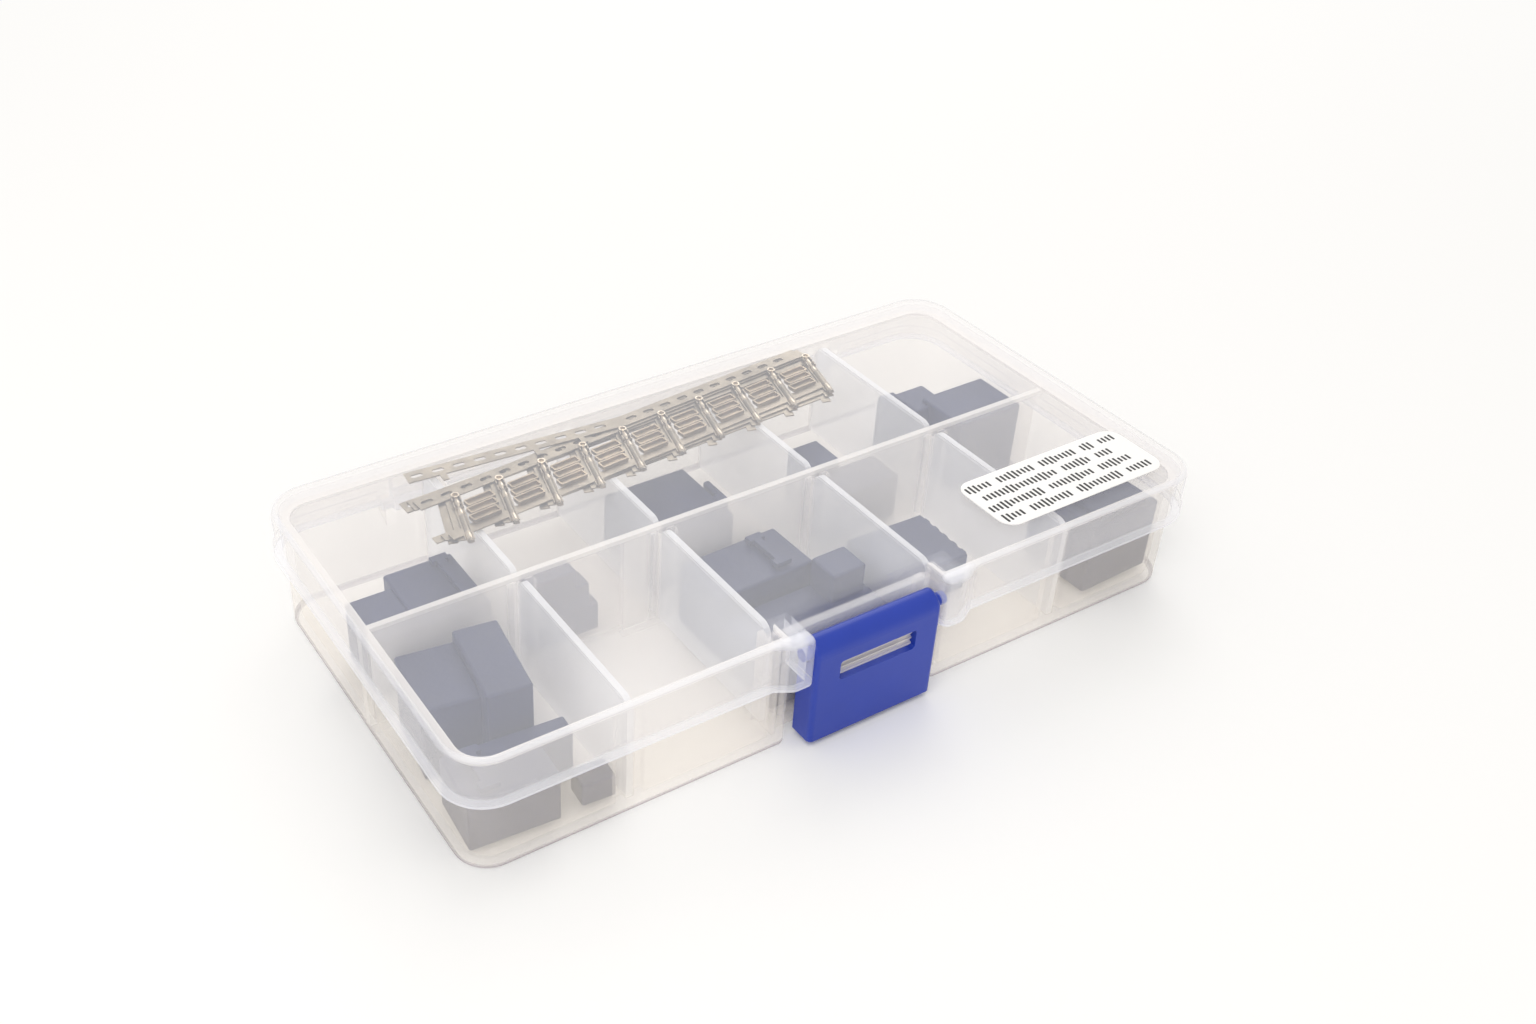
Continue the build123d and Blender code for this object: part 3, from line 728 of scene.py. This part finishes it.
class PARTSBOX_OT_label(bpy.types.Operator):
    """Finish the label and print rows of plain bars on it"""
    bl_idname = "partsbox.label"
    bl_label = "Label"

    def execute(self, context):
        look = context.scene.partsbox_label
        low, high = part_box("label")
        print_height = 0.02 * MM
        sheet = self.sheet(low, high - Vector((0, 0, print_height)), look.corner)
        settle(sheet, "label_sheet", paper("label_paper", look.paper), "lid")
        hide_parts("label")
        ink = printing("label_ink", look.ink)
        # Each row is its indent in millimetres, and how many bars stand in each of its groups.
        rows = (
            (1.0, (6, 9, 9, 3, 4)),
            (2.1, (18, 7, 4)),
            (1.0, (13, 11, 8)),
            (1.3, (5, 10, 11, 6)),
        )
        for number, (indent, groups) in enumerate(rows):
            across = high[1] - look.margin - number * look.row_pitch
            start = Vector((low[0] + indent * MM, across, high[2] - print_height / 2))
            bars = self.bars(look, start, groups, number, print_height)
            settle(bars, f"label_bars_{number + 1}", ink, "lid")
        return {"FINISHED"}

    @staticmethod
    def sheet(low, high, corner):
        """A thin sheet with rounded corners that fills a box."""
        sheet = block((low + high) / 2, high - low)
        pick(sheet, "EDGE", upright)
        bpy.ops.mesh.bevel(offset=corner, segments=8, affect="EDGES")
        done()
        return sheet

    @staticmethod
    def bars(look, start, groups, shift, thickness):
        """One row of plain upright bars in groups, with heights that vary from bar to bar."""
        bar = block((0, 0, 0), (look.bar_width, look.bar_height, thickness))
        pick(bar, "EDGE", upright)
        bpy.ops.mesh.bevel(offset=look.bar_width * 0.3, segments=2, affect="EDGES")
        done()
        heights = (1.0, 0.8, 1.0, 1.35, 0.85, 1.0, 1.2, 0.9)
        group_gap = look.bar_pitch * 1.6
        made = []
        place = start.copy()
        for count in groups:
            for _ in range(count):
                twin = copied(bar, place)
                tall = heights[(len(made) * 3 + shift) % len(heights)]
                twin.scale = (1, tall, 1)
                made.append(twin)
                place.x += look.bar_pitch
            place.x += group_gap
        bpy.data.objects.remove(bar)
        return joined(made)


class PARTSBOX_OT_studio(bpy.types.Operator):
    """Set up the floor, the lamps and the camera"""
    bl_idname = "partsbox.studio"
    bl_label = "Studio"

    def execute(self, context):
        scene = context.scene
        look = scene.partsbox_studio
        floor_side = 6.0
        scene.view_settings.view_transform = "Standard"
        scene.cycles.max_bounces = 24
        scene.cycles.diffuse_bounces = 8
        scene.cycles.transparent_max_bounces = 32
        clear_selection()
        bpy.ops.mesh.primitive_plane_add(size=floor_side, location=(0, 0, -0.02 * MM))
        floor = context.object
        floor.name = "floor"
        floor.data.materials.append(self.floor_material(look))
        self.sky(scene, look.fill)
        self.lamp("key_lamp", (-0.35, -0.25, 0.55), 0.45, look.key)
        self.lamp("rim_lamp", (0.35, 0.45, 0.50), 0.40, look.key * 0.7)
        self.camera(scene, look.lens)
        return {"FINISHED"}

    @staticmethod
    def camera(scene, lens):
        """The viewer's camera, above and left of the box's front."""
        place = (-0.1221018, -0.1642665, 0.1631054)
        turn = [math.radians(degrees) for degrees in (54.690, -0.622, -31.286)]
        clear_selection()
        bpy.ops.object.camera_add(location=place, rotation=turn)
        camera = bpy.context.object
        camera.name = "camera"
        camera.data.lens = lens
        camera.data.sensor_width = 36.0
        camera.data.shift_x = 0.0922
        camera.data.shift_y = -0.0109
        camera.data.clip_start = 0.005
        scene.camera = camera

    @staticmethod
    def floor_material(look):
        """A pale floor that looks near white to the viewer and in reflections.

        It keeps the box's shadow and fades to white far off, and each layer of plastic in front of
        it warms it a little.
        """
        full_warmth = 6.0  # layers of plastic
        near_half = 0.20  # metres
        fade_length = 0.35  # metres
        material, tree, shader = new_material("pale_floor")
        path = tree.nodes.new("ShaderNodeLightPath")
        seen = link_math(tree, "MAXIMUM", path.outputs["Is Camera Ray"], path.outputs["Is Glossy Ray"])
        seen = link_math(tree, "MAXIMUM", seen, path.outputs["Is Transmission Ray"])
        blend = tree.nodes.new("ShaderNodeMix")
        blend.data_type = "RGBA"
        blend.inputs["A"].default_value = (*look.floor, 1)
        blend.inputs["B"].default_value = (*look.seen_floor, 1)
        tree.links.new(seen, blend.inputs["Factor"])
        layers = link_math(tree, "DIVIDE", path.outputs["Transparent Depth"], full_warmth)
        warmth = link_math(tree, "MINIMUM", layers, 1.0)
        warmth = link_math(tree, "MULTIPLY", warmth, path.outputs["Is Camera Ray"])
        warmed = tree.nodes.new("ShaderNodeMix")
        warmed.data_type = "RGBA"
        warmed.inputs["B"].default_value = (*look.warm_floor, 1)
        tree.links.new(warmth, warmed.inputs["Factor"])
        tree.links.new(blend.outputs["Result"], warmed.inputs["A"])
        tree.links.new(warmed.outputs["Result"], shader.inputs["Base Color"])
        shader.inputs["Roughness"].default_value = 0.9
        shader.inputs["Specular IOR Level"].default_value = 0.0
        near = group(tree, "Zone", Half=(near_half, near_half, PAST_ALL), Soft=fade_length)
        far = link_math(tree, "SUBTRACT", 1.0, near.outputs["Mask"])
        far = link_math(tree, "MULTIPLY", far, path.outputs["Is Camera Ray"])
        white = node(tree, "ShaderNodeEmission", Color=(*look.far_floor, 1), Strength=1.0)
        fade = tree.nodes.new("ShaderNodeMixShader")
        tree.links.new(far, fade.inputs["Fac"])
        tree.links.new(shader.outputs["BSDF"], fade.inputs[1])
        tree.links.new(white.outputs["Emission"], fade.inputs[2])
        output = next(part for part in tree.nodes if part.type == "OUTPUT_MATERIAL")
        tree.links.new(fade.outputs["Shader"], output.inputs["Surface"])
        return material

    @staticmethod
    def sky(scene, fill):
        """Even light from all round, seen as white."""
        world = bpy.data.worlds.new("studio")
        scene.world = world
        world.use_nodes = True
        tree = world.node_tree
        tree.nodes.clear()
        output = tree.nodes.new("ShaderNodeOutputWorld")
        light = node(tree, "ShaderNodeBackground", Color=(1.0, 0.995, 0.985, 1), Strength=fill)
        seen = node(tree, "ShaderNodeBackground", Color=(1.0, 0.995, 0.985, 1), Strength=1.0)
        path = tree.nodes.new("ShaderNodeLightPath")
        blend = tree.nodes.new("ShaderNodeMixShader")
        tree.links.new(path.outputs["Is Camera Ray"], blend.inputs["Fac"])
        tree.links.new(light.outputs["Background"], blend.inputs[1])
        tree.links.new(seen.outputs["Background"], blend.inputs[2])
        tree.links.new(blend.outputs["Shader"], output.inputs["Surface"])

    @staticmethod
    def lamp(name, place, size, power):
        """A large soft lamp aimed at the box."""
        clear_selection()
        bpy.ops.object.light_add(type="AREA", location=place)
        lamp = bpy.context.object
        lamp.name = name
        lamp.data.size = size
        lamp.data.energy = power
        lamp.rotation_euler = (-Vector(place)).to_track_quat("-Z", "Y").to_euler()


class PARTSBOX_PT_panel(bpy.types.Panel):
    """Lists the settings and the steps"""
    bl_idname = "PARTSBOX_PT_panel"
    bl_label = "Parts Box"
    bl_space_type = "VIEW_3D"
    bl_region_type = "UI"
    bl_category = "Parts Box"

    def draw(self, context):
        for settings in SETTINGS:
            box = self.layout.box()
            group_data = getattr(context.scene, settings)
            for name in group_data.__annotations__:
                box.prop(group_data, name)
        for operator in OPERATORS:
            self.layout.operator(operator.bl_idname)


SETTINGS = {
    "partsbox_plastic": PlasticSettings,
    "partsbox_label": LabelSettings,
    "partsbox_metal": MetalSettings,
    "partsbox_studio": StudioSettings,
}
OPERATORS = [
    PARTSBOX_OT_mouldings,
    PARTSBOX_OT_latch,
    PARTSBOX_OT_contents,
    PARTSBOX_OT_terminals,
    PARTSBOX_OT_label,
    PARTSBOX_OT_studio,
]


def register():
    """Add the settings, the operators and the panel."""
    for kind in [*SETTINGS.values(), *OPERATORS, PARTSBOX_PT_panel]:
        bpy.utils.register_class(kind)
    for name, kind in SETTINGS.items():
        setattr(bpy.types.Scene, name, bpy.props.PointerProperty(type=kind))


def unregister():
    """Remove them again."""
    for name in SETTINGS:
        delattr(bpy.types.Scene, name)
    for kind in reversed([*SETTINGS.values(), *OPERATORS, PARTSBOX_PT_panel]):
        bpy.utils.unregister_class(kind)


def main():
    """Run every step."""
    register()
    for operator in OPERATORS:
        group_name, step = operator.bl_idname.split(".")
        getattr(getattr(bpy.ops, group_name), step)()


if __name__ == "__main__":
    main()
